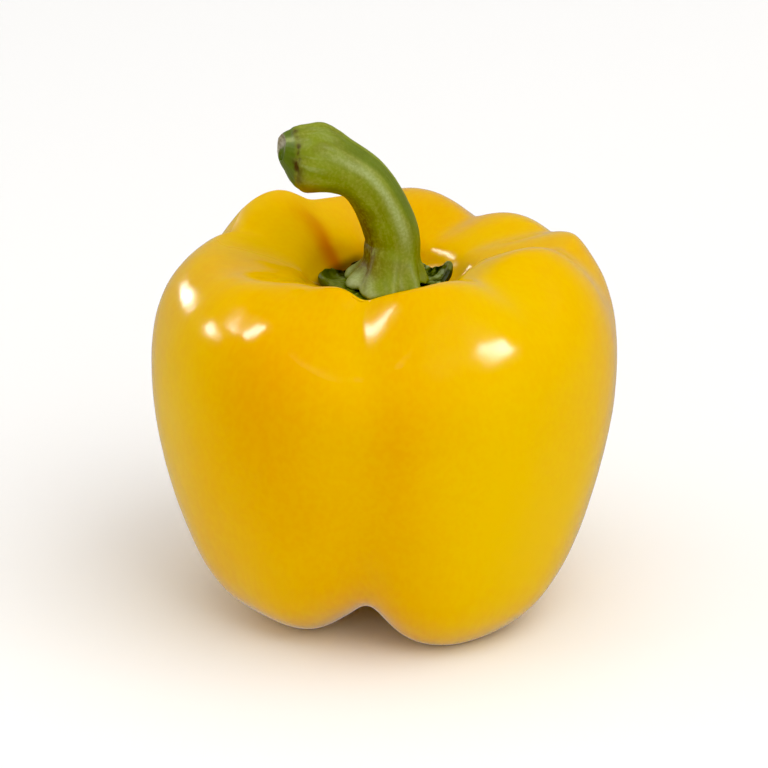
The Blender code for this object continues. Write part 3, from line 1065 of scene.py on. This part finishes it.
    def centre_line(self) -> tuple[Array, Array, Array, float]:
        """The line through the stations.

        Returns:
            Its points, its directions, how far along each point is, from 0 to 1, and its length.
        """
        knots = np.array([(s.x, s.y, s.z) for s in self.stations])
        reach = np.concatenate([[0.0], np.cumsum(np.linalg.norm(np.diff(knots, axis=0), axis=1))])
        at = np.linspace(0.0, reach[-1], self.steps)
        line = np.stack([np.interp(at, reach, knots[:, k]) for k in range(3)], axis=1)
        half = self.blur // 2
        padded = np.concatenate([np.repeat(line[:1], half, axis=0), line, np.repeat(line[-1:], half, axis=0)])
        even = np.full(self.blur, 1.0 / self.blur)
        line = np.stack([np.convolve(padded[:, k], even, "valid") for k in range(3)], axis=1)
        ahead = np.gradient(line, axis=0)
        return line, ahead / np.linalg.norm(ahead, axis=1, keepdims=True), at / reach[-1], reach[-1]

    def lie(self, points: Array) -> StemPlaces:
        """Where the points are on the stem.

        Args:
            points: Places in millimetres.

        Returns:
            Their places by the stem's own measures.
        """
        line, ahead, share, length = self.centre_line()
        nearest = np.argmin(((points[:, None, :] - line[None, :, :]) ** 2).sum(-1), axis=1)
        spoke = points - line[nearest]
        along = share[nearest] + (spoke * ahead[nearest]).sum(-1) / length
        across = np.cross(ahead[nearest], np.array([0.0, 1.0, 0.0]))
        across /= np.linalg.norm(across, axis=1, keepdims=True)
        other = np.cross(ahead[nearest], across)
        under, front = (spoke * across).sum(-1), (spoke * other).sum(-1)
        turn = np.degrees(np.arctan2(front, under))

        level, aside = np.cos(np.radians(turn)), np.sin(np.radians(turn))
        flow = np.stack([self.girth * level, self.girth * aside, along * length * self.flow_stretch], axis=1)
        ribs = grain(flow, self.rib_size)
        scar = self.scar_along - self.scar_slant * level + self.scar_ragged * grain(flow, self.scar_grain)
        return StemPlaces(points, along, turn, level, np.hypot(under, front), flow, along - scar, ribs)

    def foot(self, at: StemPlaces) -> tuple[Array, Array]:
        """The foot's ribs.

        Args:
            at: Where the points are.

        Returns:
            How far the ribs stand out there, in millimetres, and how pale they are.
        """
        rise, paleness = np.zeros(len(at.turn)), np.zeros(len(at.turn))
        for rib in self.foot_ribs:
            shape = hump(turn_between(at.turn, rib.turn), 0.0, rib.spread)
            rise += rib.rise * shape
            paleness += rib.paleness * shape
        low = self.foot_start.at(at.points[:, 2])
        return rise * low, paleness * low

    def relief(self, at: StemPlaces, foot_rise: Array) -> Array:
        """How far the surface stands out from the CAD form.

        Args:
            at: Where the points are.
            foot_rise: How far the foot's ribs stand out there.

        Returns:
            A height in millimetres for each point.
        """
        knob = self.knob.at(at.along)
        ribs = at.ribs * (self.rib_height[0] + self.rib_height[1] * knob)
        lumps = grain(at.points, self.lump_size) * (self.lump_height[0] + self.lump_height[1] * knob)
        heights = ribs + lumps + foot_rise
        heights += self.bulge.at(at.turn, at.along)
        step_depth = self.step_depth[0] + self.step_depth[1] * self.top.at(at.level)
        heights -= self.groove_depth * self.groove.at(at.past) + step_depth * self.step.at(at.past)
        heights -= self.pinch * self.pinch_turn.at(np.abs(at.turn)) * self.pinch_height.at(at.points[:, 2])
        return heights

    def toe_shift(self, at: StemPlaces) -> Array:
        """How far the toe is drawn out over the calyx.

        Args:
            at: Where the points are.

        Returns:
            A level shift in millimetres for each point, one row each.
        """
        toe = self.toe * self.toe_turn.around(at.turn) * self.toe_start.at(at.points[:, 2])
        outwards = (at.points - at.points.mean(0)) * (1.0, 1.0, 0.0)
        outwards /= np.linalg.norm(outwards, axis=1, keepdims=True) + NEARLY_NOTHING
        return outwards * toe[:, None]

    def scar(self, at: StemPlaces) -> Array:
        """How brown the scar round the knob is.

        Args:
            at: Where the points are.

        Returns:
            A value for each point, from 0 to 1.
        """
        whole = self.line_gaps.at(grain(at.points, self.line_grain))
        total = self.line_strength * self.scar_line.at(at.past) * whole
        for spot in self.scar_spots:
            total += spot.at(at.turn, at.past)
        return np.clip(self.scar_strength * total, 0.0, 1.0)

    def darkness(self, at: StemPlaces) -> Array:
        """How dark the outer side and the end past the scar are.

        Args:
            at: Where the points are.

        Returns:
            A value for each point.
        """
        outer = self.outer_dark * self.outer.at(at.turn)
        outer = outer * self.outer_end.at(at.along) * self.outer_start.at(at.along)
        gap = self.ridge_gap_share * self.ridge_gap.at(at.turn)
        return self.collar_dark * self.collar.at(at.past) * (1.0 - gap) + outer

    def pale(self, at: StemPlaces, foot_paleness: Array) -> Array:
        """How pale the stem is: the sheen is a painted highlight, the foot's ribs are partly a painted
        reflection, and the rays and the ridge are pale.

        Args:
            at: Where the points are.
            foot_paleness: How pale the foot's ribs are there.

        Returns:
            A value for each point, from 0 to 1.
        """
        # Painted highlight: a pale band along the stem where a lamp's sheen falls.
        width = self.sheen_width[0] + self.sheen_width[1] * self.sheen_wide.at(at.along)
        sheen = hump(at.turn, self.sheen_turn, width)
        sheen *= self.sheen_start.at(at.along) * self.sheen_end.at(at.along)
        rays = self.ray_ribs.at(at.ribs) * self.ray_along.at(at.along) * self.ray_turn.at(at.turn)
        ridge = self.collar.at(at.past) * self.ridge.at(at.turn)
        of_sheen, of_rays, of_ridge = self.pale_shares
        return np.clip(of_sheen * sheen + of_rays * rays + of_ridge * ridge + foot_paleness, 0.0, 1.0)

    def build(self) -> None:
        """Makes the stem with its fine ribs, its scar and its cut."""
        mesh = self.divided(self.welded_copy())
        points, normals = self.read(mesh) / MM, self.read(mesh, "normal")
        at = self.lie(points)
        foot_rise, foot_paleness = self.foot(at)
        heights = self.relief(at, foot_rise)
        self.move(mesh, (points + normals * heights[:, None] + self.toe_shift(at)) * MM)

        cut = self.cut_start.at(at.along) * self.cut_rim.at(at.out)
        inner = self.inner.at(np.abs(at.turn))
        shaft = self.shaft_end.at(at.along) * self.shaft_start.at(points[:, 2])
        self.carry(mesh, Layer.FLOW, at.flow * MM)
        self.carry(mesh, Layer.CUT, cut)
        self.carry(mesh, Layer.SCAR, self.scar(at) * (1.0 - cut))
        # Olive with painted shade on the inner side under the bend, away from the light.
        self.carry(mesh, Layer.SHADE, np.clip(self.olive_and_shade[0] + self.olive_and_shade[1] * inner * shaft, 0.0, 1.0))
        self.carry(mesh, Layer.STAIN, self.stain_strength * inner * self.stain.at(at.along))
        self.carry(mesh, Layer.DARK, self.darkness(at))
        self.carry(mesh, Layer.PALE_AND_SHEEN, self.pale(at, foot_paleness) * (1.0 - cut))
        self.place(mesh, StalkFinish().material())


@dataclass(frozen=True)
class Softbox:
    """A soft light, by where it stands as seen from the fruit.

    Attributes:
        name: What it is.
        azimuth: Direction that it stands in.
        elevation: Its height above the horizon.
        width: How wide it looks from the fruit, in degrees.
        height: How tall it looks from there, in degrees.
        radiance: How bright its surface is.
        kind: Whether it shows as a highlight or only brightens.
        roll: How far it is turned in its own plane, in degrees, its top towards lower azimuths.
        tint: Its colour.
    """

    name: str
    azimuth: float
    elevation: float
    width: float
    height: float
    radiance: float
    kind: Lamp
    roll: float = 0.0
    tint: Colour = (1.0, 0.98, 0.95)


@dataclass
class Studio:
    """The white table, the soft lights and the camera."""

    camera_elevation: float = 24.0
    camera_distance: float = 1100.0
    camera_target: tuple[float, float, float] = (0.0, 0.0, 35.0)
    aim_right: float = -0.09
    aim_up: float = 5.93
    lens: float = 278.4
    sensor_width: float = 36.0
    clip_range: tuple[float, float] = (0.05, 20.0)
    light_distance: float = 1500.0
    light_target: tuple[float, float, float] = (0.0, 0.0, 60.0)
    floor_size: float = 3000.0
    floor_colour: Colour = (0.93, 0.93, 0.93)
    floor_roughness: float = 0.9
    floor_specular: float = 0.1
    surroundings: Colour = (0.46, 0.46, 0.46)
    black_level: float = 0.014
    softboxes: tuple[Softbox, ...] = (
        Softbox("left_window_high", 176, 52, width=6, height=20, radiance=46, kind=Lamp.MIRRORED, roll=16),
        Softbox("left_window_low", 169, 26, width=11, height=9, radiance=40, kind=Lamp.MIRRORED),
        Softbox("right_window", -22, 43, width=15, height=16, radiance=38, kind=Lamp.MIRRORED),
        Softbox("rim_light", 133, 12, width=7, height=8, radiance=26, kind=Lamp.MIRRORED),
        Softbox("front_window", -112, 60, width=6, height=5, radiance=2.0, kind=Lamp.MIRRORED),
        Softbox("key", -40, 52, width=50, height=50, radiance=1.40, kind=Lamp.FILL),
        Softbox("left_bounce", 178, 25, width=50, height=50, radiance=0.65, kind=Lamp.FILL),
        Softbox("front_bounce", -95, 14, width=80, height=40, radiance=0.58, kind=Lamp.FILL),
        Softbox("overhead", -30, 78, width=70, height=70, radiance=1.0, kind=Lamp.FILL),
    )

    @staticmethod
    def direction(azimuth: float, elevation: float) -> Vector:
        """The unit vector towards an azimuth and elevation."""
        turn, rise = math.radians(azimuth), math.radians(elevation)
        return Vector((math.cos(turn) * math.cos(rise), math.sin(turn) * math.cos(rise), math.sin(rise)))

    def lay_floor(self) -> None:
        """Lays the plain white table."""
        bm = bmesh.new()
        bmesh.ops.create_grid(bm, x_segments=1, y_segments=1, size=self.floor_size * MM)
        mesh = bpy.data.meshes.new("table_top")
        bm.to_mesh(mesh)
        bm.free()
        sheet = NodeSheet("white_card")
        card = sheet.finish(
            Base_Color=self.floor_colour,
            Roughness=self.floor_roughness,
            Specular_IOR_Level=self.floor_specular,
        )
        mesh.materials.append(card)
        floor = bpy.data.objects.new("table_top", mesh)
        floor.visible_glossy = False
        bpy.context.scene.collection.objects.link(floor)

    def hang_lights(self) -> None:
        """Hangs the softboxes and lights the room."""
        target = Vector(self.light_target) * MM
        for box in self.softboxes:
            light = bpy.data.lights.new(box.name, "AREA")
            light.shape = "RECTANGLE"
            reach = 2.0 * self.light_distance * MM
            light.size = reach * math.tan(math.radians(box.width / 2.0))
            light.size_y = reach * math.tan(math.radians(box.height / 2.0))
            light.energy = box.radiance * math.pi * light.size * light.size_y
            light.color = box.tint
            lamp = bpy.data.objects.new(box.name, light)
            towards = self.direction(box.azimuth, box.elevation)
            lamp.location = target + towards * self.light_distance * MM
            facing = towards.to_track_quat("Z", "Y") @ Quaternion((0.0, 0.0, 1.0), math.radians(box.roll))
            lamp.rotation_euler = facing.to_euler()
            lamp.visible_glossy = box.kind is Lamp.MIRRORED
            lamp.visible_diffuse = box.kind is Lamp.FILL
            bpy.context.scene.collection.objects.link(lamp)
        world = bpy.data.worlds.new("white_room")
        world.use_nodes = True
        world.node_tree.nodes["Background"].inputs["Color"].default_value = (*self.surroundings, 1.0)
        bpy.context.scene.world = world

    def set_camera(self) -> None:
        """Puts the camera where the photographer stood."""
        data = bpy.data.cameras.new("camera")
        data.lens = self.lens
        data.sensor_width = self.sensor_width
        data.clip_start, data.clip_end = self.clip_range
        back = self.direction(-90.0, self.camera_elevation)
        up = self.direction(90.0, 90.0 - self.camera_elevation)
        target = Vector(self.camera_target)
        camera = bpy.data.objects.new("camera", data)
        camera.location = (target + back * self.camera_distance) * MM
        aim = (target + up * self.aim_up + Vector((self.aim_right, 0.0, 0.0))) * MM
        camera.rotation_euler = (aim - camera.location).to_track_quat("-Z", "Y").to_euler()
        bpy.context.scene.collection.objects.link(camera)
        bpy.context.scene.camera = camera

    def set_up(self) -> None:
        """Makes the whole studio."""
        self.lay_floor()
        self.hang_lights()
        self.set_camera()
        view = bpy.context.scene.view_settings
        view.view_transform = "Standard"
        view.use_curve_mapping = True
        view.curve_mapping.black_level = (self.black_level,) * 3
        view.curve_mapping.update()


def main() -> None:
    """Builds the pepper and its studio."""
    logging.basicConfig(level=logging.INFO, format="%(message)s")
    Studio().set_up()
    for part in (Fruit(), Calyx(), Stem()):
        part.build()


if __name__ == "__main__":
    main()
